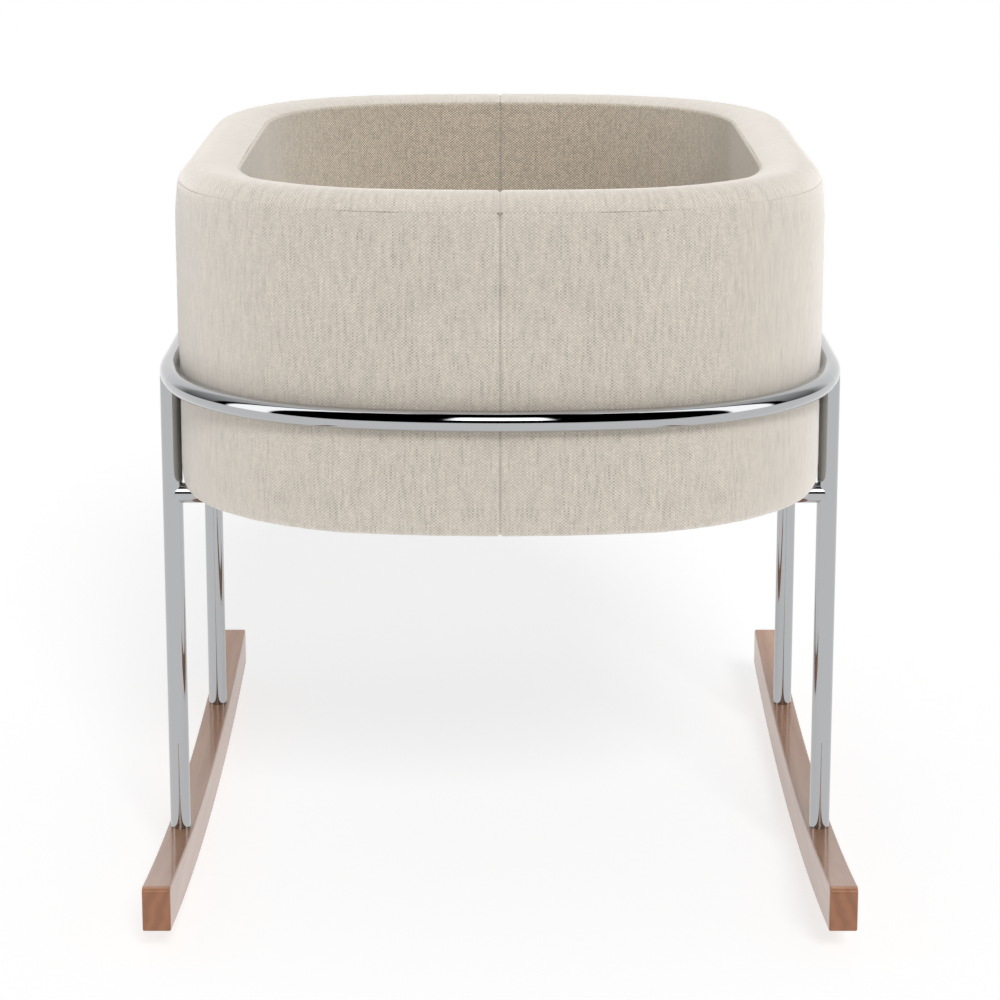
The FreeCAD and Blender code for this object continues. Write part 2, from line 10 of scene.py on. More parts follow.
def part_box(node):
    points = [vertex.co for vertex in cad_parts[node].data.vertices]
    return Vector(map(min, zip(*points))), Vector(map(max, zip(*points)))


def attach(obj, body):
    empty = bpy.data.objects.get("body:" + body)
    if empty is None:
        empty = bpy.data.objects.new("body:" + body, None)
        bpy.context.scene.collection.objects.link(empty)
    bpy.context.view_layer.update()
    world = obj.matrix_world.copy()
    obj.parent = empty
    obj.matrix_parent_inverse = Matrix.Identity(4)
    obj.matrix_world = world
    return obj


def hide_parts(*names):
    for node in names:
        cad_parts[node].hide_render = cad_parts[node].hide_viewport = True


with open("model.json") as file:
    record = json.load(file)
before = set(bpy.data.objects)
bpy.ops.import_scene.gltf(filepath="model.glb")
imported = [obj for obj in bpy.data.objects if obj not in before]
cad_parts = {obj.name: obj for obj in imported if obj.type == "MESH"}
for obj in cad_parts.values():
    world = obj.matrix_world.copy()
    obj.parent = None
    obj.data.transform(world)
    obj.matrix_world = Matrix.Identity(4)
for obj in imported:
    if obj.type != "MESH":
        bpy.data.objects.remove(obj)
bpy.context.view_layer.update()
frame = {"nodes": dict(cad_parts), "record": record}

bl_info = {
    "name": "Rocking Bassinet",
    "version": (1, 0, 0),
    "blender": (4, 5, 0),
    "location": "View3D > Sidebar > Bassinet",
    "description": "Dresses a rocking bassinet in padded linen, wood and chrome",
    "category": "Object",
}

MM = 0.001
BASSINET = "bassinet"
MATTRESS = "mattress"

# How far round the edge of a cloth curls into a level seam, in degrees.
CURL_TURN = 62

# The board inside the tub's wall, and the foam's clearance round it.
SHELL_BOARD = 9 * MM
SHELL_GAP = 0.3 * MM

# The under-cloth's staples: their spacing, and how far they keep from a cross tube.
STAPLE_SPACING = 33 * MM
STAPLE_CLEARANCE = 8 * MM

# The mattress's simulation: its frames, and the pressure of the air in the cover.
CLOTH_FRAMES = 20
AIR_PRESSURE = 4

# The camera's focal length in millimetres, its place, and its downward tilt in degrees.
LENS = 114.37
EYE = (0, -3.0884, 1.0468)
TILT = 13.25

# The floor's tone and glow, and the strength of the world's even light.
FLOOR_TONE = (0.56, 0.56, 0.56)
FLOOR_GLOW = 0.71
WORLD_LIGHT = 0.29

# Each light: its name, the direction it comes from, its power, and its width in degrees.
LIGHTS = (("key", (0.15, -0.83, 0.53), 1.35, 16),
          ("front", (0.35, -1.0, 0.16), 0.4, 16),
          ("overhead", (0.0, 0.1, 1.0), 1.5, 40),
          ("left", (-1.0, -0.1, 0.16), 0.62, 16),
          ("right", (1.0, -0.25, 0.36), 0.5, 16),
          ("rear", (-0.2, 1.0, 0.2), 0.6, 40))

TUB_LOW, TUB_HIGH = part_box("cover_outer_right")
RIM_LOW, RIM_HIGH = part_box("rim_band_right")
LINER_LOW, LINER_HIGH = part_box("liner_right")
FLOOR_LOW, FLOOR_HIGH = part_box("floor_fabric")
PAD_LOW, PAD_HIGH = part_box("mattress_cover")
SHELL_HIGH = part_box("shell_wall")[1]
HOOP_LOW, HOOP_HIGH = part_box("hoop_tube")

TUB_HALF_WIDTH = TUB_HIGH.x
TUB_HALF_LENGTH = TUB_HIGH.y
WALL = TUB_HALF_WIDTH - FLOOR_HIGH.x
SHELL_INSET = TUB_HALF_WIDTH - SHELL_HIGH.x
RIM_SEAM = RIM_LOW.z
RIM_TOP = RIM_HIGH.z
HOOP_LEVEL = (HOOP_LOW.z + HOOP_HIGH.z) / 2


# ---- sizes and colours

def length(name, description, default):
    return bpy.props.FloatProperty(name=name, description=description, default=default * MM,
                                   subtype="DISTANCE", unit="LENGTH", precision=5)


def colour(name, description, default):
    return bpy.props.FloatVectorProperty(name=name, description=description, default=default,
                                         subtype="COLOR", size=3, min=0, max=1)


class BassinetSizes(bpy.types.PropertyGroup):
    """Sizes of the sewn and padded pieces."""

    shoulder_radius: length("Shoulder radius", "Bend between a side and a corner", 328.5)
    corner_radius: length("Corner radius", "Bend of the tub's corners", 218.5)
    end_radius: length("End radius", "Bend of the tub's two ends", 611.5)
    bend_reach: length("Bend reach", "Length of the tub that each end's bends take up", 256)
    crown_round: length("Crown round", "Outer roundness of the padded rim", 24)
    crown_drop: length("Crown drop", "Fall of the rim to its inner edge", 6.8)
    lip_round: length("Lip round", "Roundness of the rim's inner edge", 3.2)
    lip_width: length("Lip width", "Width of wall cloth that turns onto the rim", 0.6)
    cloth: length("Cloth", "Thickness of the linen", 1.4)
    seam_depth: length("Seam depth", "How far an upright seam pulls the cloth in", 1.6)
    seam_reach: length("Seam reach", "Half width of an upright seam's valley", 1.7)
    level_seam: length("Level seam", "Roundness of the cloth at the seams round the rim", 0.6)
    swell_above: length("Swell above", "Swell of the padding above the hoop", 2.1)
    swell_below: length("Swell below", "Swell of the padding below the hoop", 1.4)
    hoop_touch: length("Hoop touch", "How far the cloth stands out to meet the hoop", 0.8)
    mesh_step: length("Mesh step", "Spacing of the cloth's mesh", 5)
    bottom_round: length("Bottom round", "Roundness of the tub's lower edge", 5)
    hem_width: length("Hem width", "Width of linen turned in under the base", 30)
    under_edge: length("Under-cloth edge", "Distance of the under-cloth from the edge", 24.5)
    padding_depth: length("Padding depth", "Distance of the foam behind the cloth's face", 4)
    pad_swell: length("Pad swell", "How far the mattress's top may swell", 5)
    pad_side_swell: length("Pad side swell", "How far the mattress's sides may swell", 1.2)
    piping: length("Piping", "Radius of the mattress's piping", 2)


class BassinetColours(bpy.types.PropertyGroup):
    """Colours of the finishes."""

    warp: colour("Warp", "Upright yarns of the linen", (0.380, 0.334, 0.280))
    weft: colour("Weft", "Level yarns of the linen", (0.560, 0.511, 0.440))
    # The inner yarns are the outer linen's yarns, painted darker overall and warmer: painted shade
    # inside the tub, on the same cloth.
    shaded_inner_warp: colour("Inner warp", "Upright yarns inside the tub", (0.245, 0.203, 0.148))
    shaded_inner_weft: colour("Inner weft", "Level yarns inside the tub", (0.610, 0.538, 0.438))
    cotton: colour("Cotton", "Mattress cover", (0.80, 0.78, 0.74))
    chrome: colour("Chrome", "Polished tube", (0.455, 0.460, 0.470))
    zinc: colour("Zinc", "Plated fixings", (0.50, 0.50, 0.49))
    wood_light: colour("Light wood", "Early grain of the rockers", (0.400, 0.232, 0.152))
    wood_dark: colour("Dark wood", "Late grain of the rockers", (0.290, 0.148, 0.088))
    wood_end: colour("Wood ends", "Sawn ends of the rockers", (0.290, 0.122, 0.060))
    board: colour("Board", "Raw plywood", (0.55, 0.40, 0.24))
    foam: colour("Foam", "Upholstery foam", (0.82, 0.78, 0.62))
    under_cloth: colour("Under-cloth", "Cloth under the base", (0.016, 0.016, 0.017))


def sizes():
    return bpy.context.scene.bassinet_sizes


def colours():
    return bpy.context.scene.bassinet_colours


def tinted(tone, share):
    return tuple(min(1.0, part * share) for part in tone)


# ---- the tub's oval

class Oval:
    """The tub's plan outline: straight sides, and three arcs in each quadrant."""

    def __init__(self, inset=0.0):
        group = sizes()
        self.inset = inset
        self.half_width = TUB_HALF_WIDTH - inset
        self.half_length = TUB_HALF_LENGTH - inset
        self.straight = TUB_HALF_LENGTH - group.bend_reach
        radii = (group.shoulder_radius, group.corner_radius, group.end_radius)
        first = Vector((TUB_HALF_WIDTH - radii[0], self.straight))
        last = Vector((0, TUB_HALF_LENGTH - radii[2]))
        between = last - first
        near = radii[0] - radii[1]
        far = radii[2] - radii[1]
        foot = (near ** 2 - far ** 2 + between.length_squared) / (2 * between.length)
        side = math.sqrt(near ** 2 - foot ** 2)
        along = between.normalized()
        middle = first + along * foot + Vector((-along.y, along.x)) * side
        self.centres = (first, middle, last)
        self.radii = radii
        self.turns = (0, math.atan2(middle.y - first.y, middle.x - first.x),
                      math.atan2(middle.y - last.y, middle.x - last.x), math.pi / 2)

    def arcs(self):
        """Centre, radius and turn of each arc, from a side to an end."""
        return [(self.centres[i], self.radii[i] - self.inset, self.turns[i + 1] - self.turns[i])
                for i in range(3)]

    def place(self, x, y):
        """Distance along the outline from the middle of the side, and depth inside it."""
        across, up = abs(x), abs(y)
        if up <= self.straight:
            return up, TUB_HALF_WIDTH - across
        travelled = self.straight
        for index in range(3):
            centre, radius = self.centres[index], self.radii[index]
            turn = math.atan2(up - centre.y, across - centre.x)
            if turn <= self.turns[index + 1] or index == 2:
                reach = math.hypot(across - centre.x, up - centre.y)
                return travelled + (turn - self.turns[index]) * radius, radius - reach
            travelled += (self.turns[index + 1] - self.turns[index]) * radius

    def quarter(self):
        """Length of the outline from the middle of a side to the middle of an end."""
        arcs = zip(self.radii, self.turns, self.turns[1:])
        return self.straight + sum(radius * (b - a) for radius, a, b in arcs)


# ---- modelling helpers

def only(piece):
    bpy.ops.object.select_all(action="DESELECT")
    piece.select_set(True)
    bpy.context.view_layer.objects.active = piece


def edit(mode="VERT"):
    bpy.ops.object.mode_set(mode="EDIT")
    bpy.ops.mesh.select_mode(type=mode)
    bpy.ops.mesh.select_all(action="SELECT")


def leave():
    bpy.ops.object.mode_set(mode="OBJECT")


def primitive(kind, **settings):
    """A new object with one of Blender's basic shapes, alone in the selection."""
    bpy.ops.object.select_all(action="DESELECT")
    getattr(bpy.ops.mesh, "primitive_" + kind + "_add")(**settings)
    return bpy.context.object


def extrude(move):
    """Extrude the selection along a straight move."""
    bpy.ops.mesh.extrude_region_move(TRANSFORM_OT_translate={"value": move})


def chain(name, profile):
    """A new object with the profile's line of (inset, height) at the front of the tub, left
    selected in edit mode."""
    points = [Vector((0, -(TUB_HALF_LENGTH - inset), height)) for inset, height in profile]
    piece = primitive("plane", size=0.01)
    piece.name = piece.data.name = name
    edit()
    bpy.ops.mesh.merge(type="CENTER")
    bpy.ops.transform.translate(value=points[0])
    for before, after in zip(points, points[1:]):
        extrude(after - before)
    if len(points) > 1:
        bpy.ops.mesh.select_mode(type="EDGE")
        bpy.ops.mesh.select_all(action="SELECT")
    return piece


def spin(centre, turn, steps):
    """Carry the selection round an upright axis, anticlockwise seen from above."""
    bpy.ops.mesh.spin(steps=steps, angle=-turn, center=(centre[0], centre[1], 0),
                      axis=(0, 0, 1))


def carry(run, steps):
    """Carry the selection along a straight run."""
    for _ in range(steps):
        extrude(Vector(run) / steps)


def half_round(oval, step, side, seamed):
    """Carry the selection round one half of the tub: the right half from the front seam to
    the rear one where side is 1, or the left half back again where it is -1."""
    shoulder, corner, end = oval.arcs()
    reach = end[1] * end[2]
    close = 4 * sizes().seam_reach
    splits = [(close, 10), (reach - close, max(1, round((reach - close) / step)))]
    if not seamed:
        splits = [(reach, max(2, round(reach / step)))]
    for distance, steps in splits:
        spin((0, -side * end[0].y), distance / end[1], steps)
    for centre, radius, turn in (corner, shoulder):
        spin((side * centre.x, -side * centre.y), turn, max(2, round(radius * turn / step)))
    carry((0, side * 2 * oval.straight, 0), round(2 * oval.straight / step))
    for centre, radius, turn in (shoulder, corner):
        spin((side * centre.x, side * centre.y), turn, max(2, round(radius * turn / step)))
    for distance, steps in reversed(splits):
        spin((0, side * end[0].y), distance / end[1], steps)


def swept_half(name, profile, oval, step):
    """A sheet with the profile's line of (inset, height), over the tub's right half."""
    piece = chain(name, profile)
    half_round(oval, step, 1, True)
    leave()
    return piece


def swept_ring(name, profile, oval, step):
    """A closed ring with the profile's closed line of (inset, height)."""
    closed = len(profile) > 1
    piece = chain(name, profile + profile[:1] if closed else profile)
    for side in (1, -1):
        half_round(oval, step, side, False)
    bpy.ops.mesh.select_all(action="SELECT")
    bpy.ops.mesh.remove_doubles(threshold=0.02 * MM)
    if closed:
        bpy.ops.mesh.normals_make_consistent(inside=False)
    leave()
    return piece


def oval_sheet(name, inset, height, step):
    """A flat sheet of even quads inside the tub's outline, facing up."""
    oval = Oval(inset)
    piece = swept_ring(name, [(inset, height)], oval, step)
    edit("EDGE")
    bpy.ops.mesh.fill_grid(span=max(2, round(2 * oval.half_width / step)))
    leave()
    if sum(face.normal.z for face in piece.data.polygons) < 0:
        piece.data.flip_normals()
    return piece


def finely(points, step):
    """Points along a line of (inset, height) pairs, no further apart than step."""
    fine = [points[0]]
    for before, after in zip(points, points[1:]):
        count = max(1, math.ceil(math.dist(before, after) / step - 0.01))
        for index in range(1, count + 1):
            share = index / count
            fine.append(tuple(a + (b - a) * share for a, b in zip(before, after)))
    return fine


def bend(centre, radius, start, end, steps):
    """Points of (inset, height) on an arc: 0 degrees is outwards and 90 is up."""
    turns = [math.radians(start + (end - start) * index / steps) for index in range(steps + 1)]
    return [(centre[0] - radius * math.cos(turn), centre[1] + radius * math.sin(turn))
            for turn in turns]


def pick_faces(piece, wanted):
    """Select the faces that are wanted, and start to edit them."""
    for face in piece.data.polygons:
        face.select = wanted(face)
    bpy.ops.object.mode_set(mode="EDIT")


def apply_modifiers(piece):
    only(piece)
    for modifier in list(piece.modifiers):
        bpy.ops.object.modifier_apply(modifier=modifier.name)


def add_modifier(piece, kind, **settings):
    modifier = piece.modifiers.new(kind.title(), kind)
    for name, setting in settings.items():
        setattr(modifier, name, setting)
    return modifier


def smooth(piece, angle=None):
    only(piece)
    if angle is None:
        bpy.ops.object.shade_smooth()
    else:
        bpy.ops.object.shade_smooth_by_angle(angle=math.radians(angle))


def turn_faces(piece, outwards):
    """Point a wall's sheet away from the middle of the tub, or towards it."""
    total = 0.0
    for face in piece.data.polygons:
        total += face.normal.dot((face.center.x, face.center.y / 2, 0)) * face.area
    if (total > 0) != outwards:
        piece.data.flip_normals()


def move_points(piece, shift):
    """Move every point of a piece by what shift gives for its place and normal."""
    normals = [vertex.normal.copy() for vertex in piece.data.vertices]
    for vertex, normal in zip(piece.data.vertices, normals):
        vertex.co += shift(vertex.co.copy(), normal)


def lay_cloth(piece, place):
    """Give a piece its cloth map in metres: along the weft, and along the warp."""
    spots = [place(vertex.co) for vertex in piece.data.vertices]
    layer = piece.data.uv_layers.new(name="Cloth")
    for loop in piece.data.loops:
        layer.data[loop.index].uv = spots[loop.vertex_index]


def copied(piece, matrix):
    """A copy of a piece with its own mesh, which the matrix has moved."""
    other = piece.copy()
    other.data = piece.data.copy()
    bpy.context.collection.objects.link(other)
    other.data.transform(matrix)
    return other


def mirrored(piece, name):
    """A copy of a piece on the tub's other side."""
    other = copied(piece, Matrix.Scale(-1, 4, (1, 0, 0)))
    other.name = other.data.name = name
    other.data.flip_normals()
    return other


def placed(spot, turn):
    """The matrix that turns a piece about its upright axis and sets it at a spot."""
    return Matrix.Translation(spot) @ Matrix.Rotation(turn, 4, "Z")


def thicken(piece, thickness):
    """Give an open sheet its thickness, on the side away from its faces."""
    add_modifier(piece, "SOLIDIFY", thickness=thickness, offset=-1)
    apply_modifiers(piece)


def joined(pieces, name):
    """One object from several, with the first one's data."""
    only(pieces[0])
    for piece in pieces[1:]:
        piece.select_set(True)
    bpy.ops.object.join()
    whole = bpy.context.object
    whole.name = whole.data.name = name
    return whole


def dressed(piece, finish, body, nodes):
    """Give a piece its finish, its body and the construction nodes that it stands for."""
    piece.data.materials.clear()
    piece.data.materials.append(material(finish))
    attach(piece, body)
    if nodes:
        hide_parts(*nodes)
    return piece


# ---- materials

class Maker:
    """Short ways to add and join the nodes of a material or a world."""

    def __init__(self, owner):
        owner.use_nodes = True
        self.owner = owner
        self.tree = owner.node_tree
        self.shader = self.tree.nodes.get("Principled BSDF")

    def add(self, kind, sources=(), **settings):
        """A new node with its settings, and its inputs fed by name or number."""
        node = self.tree.nodes.new(kind)
        for name, setting in settings.items():
            setattr(node, name, setting)
        for socket, source in dict(sources).items():
            self.feed(node.inputs[socket], source)
        return node

    def feed(self, socket, source):
        if hasattr(source, "links"):
            self.tree.links.new(source, socket)
        elif hasattr(source, "__len__") and len(source) == 3 and socket.type == "RGBA":
            socket.default_value = (*source, 1)
        else:
            socket.default_value = source

    def math(self, operation, *sources):
        return self.add("ShaderNodeMath", enumerate(sources), operation=operation).outputs[0]

    def times(self, first, *others):
        """The product of several values."""
        for other in others:
            first = self.math("MULTIPLY", first, other)
        return first

    def mix(self, share, first, second):
        return self.add("ShaderNodeMix", {0: share, 6: first, 7: second},
                        data_type="RGBA").outputs[2]

    def noise(self, vector, scale, detail=2.0, roughness=0.5):
        return self.add("ShaderNodeTexNoise", {"Vector": vector, "Scale": scale,
                        "Detail": detail, "Roughness": roughness}).outputs["Fac"]

    def spread(self, value, low, high, new_low=0.0, new_high=1.0):
        """The value carried from its own range to a new one, and held within it."""
        ends = (value, low, high, new_low, new_high)
        return self.add("ShaderNodeMapRange", enumerate(ends)).outputs[0]

    def parts(self, vector):
        return self.add("ShaderNodeSeparateXYZ", {0: vector}).outputs

    def place(self, x, y, z=0.0):
        return self.add("ShaderNodeCombineXYZ", enumerate((x, y, z))).outputs[0]

    def stretched(self, vector, x, y, z):
        """The vector with each of its parts scaled by its own number."""
        return self.add("ShaderNodeVectorMath", {0: vector, 1: (x, y, z)},
                        operation="MULTIPLY").outputs[0]

    def shaded(self, tone, share):
        return self.add("ShaderNodeVectorMath", {0: tone, "Scale": share},
                        operation="SCALE").outputs[0]

    def wave(self, vector, scale, distortion, detail, detail_scale, **settings):
        sources = {"Vector": vector, "Scale": scale, "Distortion": distortion,
                   "Detail": detail, "Detail Scale": detail_scale}
        return self.add("ShaderNodeTexWave", sources, **settings).outputs["Fac"]

    def cells(self, scale, randomness=1.0):
        sources = {"Vector": self.here(), "Scale": scale, "Randomness": randomness}
        return self.add("ShaderNodeTexVoronoi", sources).outputs["Distance"]

    def here(self):
        return self.add("ShaderNodeTexCoord").outputs["Object"]

    def bump(self, height, distance, strength):
        node = self.add("ShaderNodeBump", {"Strength": strength, "Distance": distance,
                                           "Height": height})
        self.feed(self.shader.inputs["Normal"], node.outputs[0])

    def paint(self, tone):
        self.feed(self.shader.inputs["Base Color"], tone)

    def set(self, **values):
        for name, value in values.items():
            socket = name.replace("_", " ").title().replace("Ior", "IOR")
            self.feed(self.shader.inputs[socket], value)


def woven_linen(make, depth, warp, weft, sheen):
    """Plain weave of uneven yarns: small cells of warp and weft, with darker strands, and painted
    shade along the upright seams.
    """
    slub = tinted(warp, 0.58)
    warp_pitch, weft_pitch = 1.78 * MM, 1.375 * MM
    cloth = make.add("ShaderNodeUVMap", uv_map="Cloth").outputs[0]
    along, upwards = make.parts(cloth)[:2]
    sway = make.spread(make.noise(cloth, 70, 2), 0, 1, -0.7, 0.7)
    lean = make.spread(make.noise(cloth, 45, 2), 0, 1, -0.7, 0.7)
    across = make.math("MULTIPLY_ADD", along, 1 / warp_pitch, sway)
    up = make.math("MULTIPLY_ADD", upwards, 1 / weft_pitch, lean)
    warp_number = make.math("FLOOR", across)
    weft_number = make.math("FLOOR", up)
    warp_wave = make.math("SINE", make.times(across, math.pi))
    weft_wave = make.math("SINE", make.times(up, math.pi))
    over = make.times(warp_wave, weft_wave)
    share = make.spread(over, -0.75, 0.75, 0.5 - 0.42 * depth, 0.5 + 0.42 * depth)

    warp_run = make.place(make.times(warp_number, 7.31), make.times(upwards, 75))
    weft_run = make.place(make.times(along, 60), make.times(weft_number, 5.77))
    warp_tone = make.spread(make.noise(warp_run, 1, 2), 0.3, 0.7, 0.88, 1.08)
    weft_tone = make.spread(make.noise(weft_run, 1, 2), 0.3, 0.7, 0.96, 1.03)
    warp_slub = make.spread(make.noise(warp_run, 0.61, 1), 0.53, 0.68, 0, 1)
    weft_slub = make.spread(make.noise(weft_run, 0.53, 1), 0.64, 0.80, 0, 0.3)
    warp_colour = make.mix(warp_slub, make.shaded(warp, warp_tone), slub)
    weft_colour = make.mix(weft_slub, make.shaded(weft, weft_tone), slub)
    yarn = make.mix(share, warp_colour, weft_colour)

    cell = make.add("ShaderNodeTexWhiteNoise", noise_dimensions="2D",
                    sources={"Vector": make.place(warp_number, weft_number)})
    fuzz = make.noise(cloth, 2200, 3, 0.7)
    streak = make.noise(make.stretched(cloth, 330, 26, 1), 1, 3, 0.65)
    patch = make.noise(cloth, 9, 3)
    # Within 1.3 mm of the upright seams at the tub's two ends, where x is 0, the cloth is painted
    # up to 12 % darker: painted shade in the seams' grooves.
    x, y, _ = make.parts(make.here())
    between_ends = make.math("LESS_THAN", make.math("ABSOLUTE", y), 360 * MM)
    from_seam = make.math("ADD", make.math("ABSOLUTE", x), between_ends)
    tone = make.times(make.spread(fuzz, 0.2, 0.8, 0.93, 1.07),
                      make.spread(streak, 0.25, 0.75, 0.87, 1.13),
                      make.spread(patch, 0.3, 0.7, 0.975, 1.025),
                      make.spread(cell.outputs["Value"], 0, 1, 1 - 0.1 * depth, 1 + 0.1 * depth),
                      make.spread(from_seam, 0.2 * MM, 1.3 * MM, 0.88, 1))
    make.paint(make.shaded(yarn, tone))
    lift = make.math("ABSOLUTE", over)
    relief = make.math("MULTIPLY_ADD", fuzz, 0.3, make.math("POWER", lift, 0.5))
    make.bump(relief, 0.2 * MM, 0.35 * depth)
    make.set(roughness=0.95, specular_ior_level=0.12, sheen_weight=sheen, sheen_roughness=0.7,
             sheen_tint=(1.09, 1.05, 1.0))


def heathered_linen(make):
    """The linen of the tub's outside and rim."""
    woven_linen(make, 1.0, colours().warp, colours().weft, 0.8)


def shaded_inner_linen(make):
    """The same linen inside the tub, where its weave stands out more; its darker, warmer yarns are
    painted shade of the tub's inside.
    """
    woven_linen(make, 2.0, colours().shaded_inner_warp, colours().shaded_inner_weft, 0.6)


def fine_cotton(make):
    """Close plain cotton over the mattress."""
    here = make.here()
    x, y, z = make.parts(here)
    lines = []
    for line in (x, y):
        along = make.math("MULTIPLY_ADD", z, 0.9, line)
        wave = make.math("SINE", make.times(along, 2 * math.pi / (1.1 * MM)))
        lines.append(make.spread(wave, -1, 1))
    thread = make.spread(make.noise(here, 700, 3, 0.6), 0.3, 0.7)
    make.paint(make.mix(thread, tinted(colours().cotton, 0.93), colours().cotton))
    make.bump(make.times(*lines), 0.1 * MM, 0.5)
    make.set(roughness=0.9, specular_ior_level=0.2, sheen_weight=0.2, sheen_roughness=0.5)


def polished_chrome(make):
    """Bright plated tube with a faint polishing haze and an almost level ripple."""
    here = make.here()
    haze = make.noise(here, 12, 4, 0.6)
    make.set(metallic=1.0, base_color=tuple(colours().chrome),
             roughness=make.spread(haze, 0.35, 0.75, 0.028, 0.055))
    make.bump(make.noise(here, 26, 2), 0.05 * MM, 0.15)


def zinc_plate(make):
    """Dull plated steel of bolts, washers, nuts and staples."""
    here = make.here()
    spots = make.noise(here, 240, 3, 0.6)
    make.paint(make.mix(spots, tinted(colours().zinc, 0.8), colours().zinc))
    make.bump(spots, 0.05 * MM, 0.4)
    make.set(metallic=1.0, roughness=make.spread(spots, 0.3, 0.7, 0.28, 0.46))


def rocker_wood(make):
    """Close-grained hardwood under clear lacquer, with rings on its sawn ends."""
    group = colours()
    here = make.here()
    broad = make.noise(make.stretched(here, 34, 2.2, 26), 1, 4, 0.55)
    fibre = make.stretched(here, 900, 24, 900)
    fine = make.noise(fibre, 1, 3, 0.6)
    pores = make.spread(make.noise(fibre, 0.7, 2, 0.8), 0.58, 0.72, 0, 0.35)
    flame = make.wave(make.stretched(here, 1, 0.06, 0.8), 20, 9, 3, 1.4,
                      wave_type="BANDS", bands_direction="X")
    share = make.math("MULTIPLY_ADD", make.spread(fine, 0.3, 0.7, -0.5, 0.5), 0.25,
                      make.spread(broad, 0.34, 0.66, 0.1, 0.9))
    share = make.math("MULTIPLY_ADD", make.spread(flame, 0, 1, -0.5, 0.5), 0.35, share)
    side = make.mix(share, group.wood_dark, group.wood_light)
    side = make.mix(pores, side, tinted(group.wood_dark, 0.5))
    rings = make.wave(make.stretched(here, 1, 0.1, 1.3), 26, 4, 4, 2,
                      wave_type="RINGS", rings_direction="Y")
    speck = make.noise(here, 1300, 2, 0.7)
    end_share = make.math("MULTIPLY_ADD", speck, 0.3, make.times(rings, 0.55))
    sawn = make.mix(end_share, group.wood_end, tinted(group.wood_end, 0.66))
    facing = make.parts(make.add("ShaderNodeNewGeometry").outputs["Normal"])[1]
    end = make.spread(make.math("ABSOLUTE", facing), 0.45, 0.8)
    make.paint(make.mix(end, side, sawn))
    make.bump(fine, 0.03 * MM, 0.15)
    make.set(roughness=make.spread(fine, 0.3, 0.7, 0.36, 0.44), specular_ior_level=0.35,
             coat_weight=0.5, coat_roughness=0.1)


def raw_board(make):
    """Plywood in stacked plies."""
    here = make.here()
    plies = make.math("SINE", make.times(make.parts(here)[2], 2 * math.pi / (3 * MM)))
    grain = make.noise(make.stretched(here, 200, 10, 1), 1, 4)
    share = make.math("MULTIPLY_ADD", make.spread(plies, -0.2, 0.2), 0.4,
                      make.times(grain, 0.6))
    make.paint(make.mix(share, tinted(colours().board, 0.6), colours().board))
    make.bump(grain, 0.1 * MM, 0.4)
    make.set(roughness=0.7)


def open_foam(make):
    """Cut foam with open cells."""
    pits = make.cells(900)
    # The hollows of the cells are painted darker than their rims: painted shade in the pits.
    make.paint(make.mix(pits, tinted(colours().foam, 0.7), colours().foam))
    make.bump(pits, 0.3 * MM, 0.6)
    make.set(roughness=0.95)


def under_cloth(make):
    """Thin black spun cloth with a dimpled bond pattern."""
    here = make.here()
    dots = make.cells(420, 0.25)
    tone = colours().under_cloth
    make.paint(make.mix(make.noise(here, 1400, 4, 0.7), tinted(tone, 0.6), tinted(tone, 2)))
    make.bump(dots, 0.15 * MM, 0.6)
    make.set(roughness=0.85, sheen_weight=0.15)


FINISHES = {maker.__name__: maker for maker in (
    heathered_linen, shaded_inner_linen, fine_cotton, polished_chrome, zinc_plate, rocker_wood, raw_board,
    open_foam, under_cloth)}


def material(name):
    """A finish by name, made the first time that it is asked for."""
    title = name + "_finish"
    if title not in bpy.data.materials:
        FINISHES[name](Maker(bpy.data.materials.new(title)))
    return bpy.data.materials[title]


# ---- the tub's cloth

def eased(value, low, high):
    """0 below low, 1 above high, and a smooth rise between."""
    share = min(1, max(0, (value - low) / (high - low)))
    return share * share * (3 - 2 * share)


def unevenness(along, up, from_seam):
    """Stretched cloth's slow waves, and puckers that fade away from a seam."""
    slow = noise.noise((along * 9, up * 9, 3)) * 0.45 * MM
    pucker = noise.noise((along * 95, up * 95, 11)) * 0.26 * MM
    return slow + pucker * math.exp(-from_seam / (9 * MM))


def seam_valley(from_seam):
    group = sizes()
    return group.seam_depth * math.exp(-(from_seam / group.seam_reach) ** 2)


def wall_shift(oval, levels, swell):
    """Shift for the points of an upright wall with a seam at the front and at the rear."""
    quarter = oval.quarter()

    def shift(point, normal):
        along, _ = oval.place(point.x, point.y)
        from_end = abs(quarter - along)
        from_level = min(abs(point.z - level) for level in levels)
        gripped = eased(abs(point.z - HOOP_LEVEL), 4 * MM, 22 * MM) if swell else 1
        rise = unevenness(math.copysign(along, point.y), point.z, min(from_end, from_level))
        proud = swell(point.z) * (0.55 + 0.45 * eased(from_end, 0, 30 * MM)) if swell else 0
        return normal * (rise * (0.25 + 0.75 * gripped) + proud - seam_valley(from_end))

    return shift


def outer_swell(height):
    """How far the padding stands proud of the hoop's pinch, at a height."""
    group = sizes()
    above = height > HOOP_LEVEL
    swell = group.swell_above if above else group.swell_below
    touch = group.hoop_touch
    rise = touch + (swell - touch) * eased(abs(height - HOOP_LEVEL), 3 * MM, 30 * MM)
    if above:
        return rise * eased(RIM_SEAM - height, 1 * MM, 34 * MM)
    return rise * eased(height - TUB_LOW.z, 2 * MM, 22 * MM)


def crown_radius():
    group = sizes()
    span = WALL - group.crown_round
    return (span ** 2 + group.crown_drop ** 2) / (2 * group.crown_drop)


def curled(centre, radius, turn, way):
    """The edge of a cloth on an arc, curled in from a turn to meet its neighbour."""
    curl = sizes().level_seam
    away = math.radians(turn)
    inner = (centre[0] - (radius - curl) * math.cos(away),
             centre[1] + (radius - curl) * math.sin(away))
    return bend(inner, curl, turn, turn + way * (CURL_TURN + 4), 4)


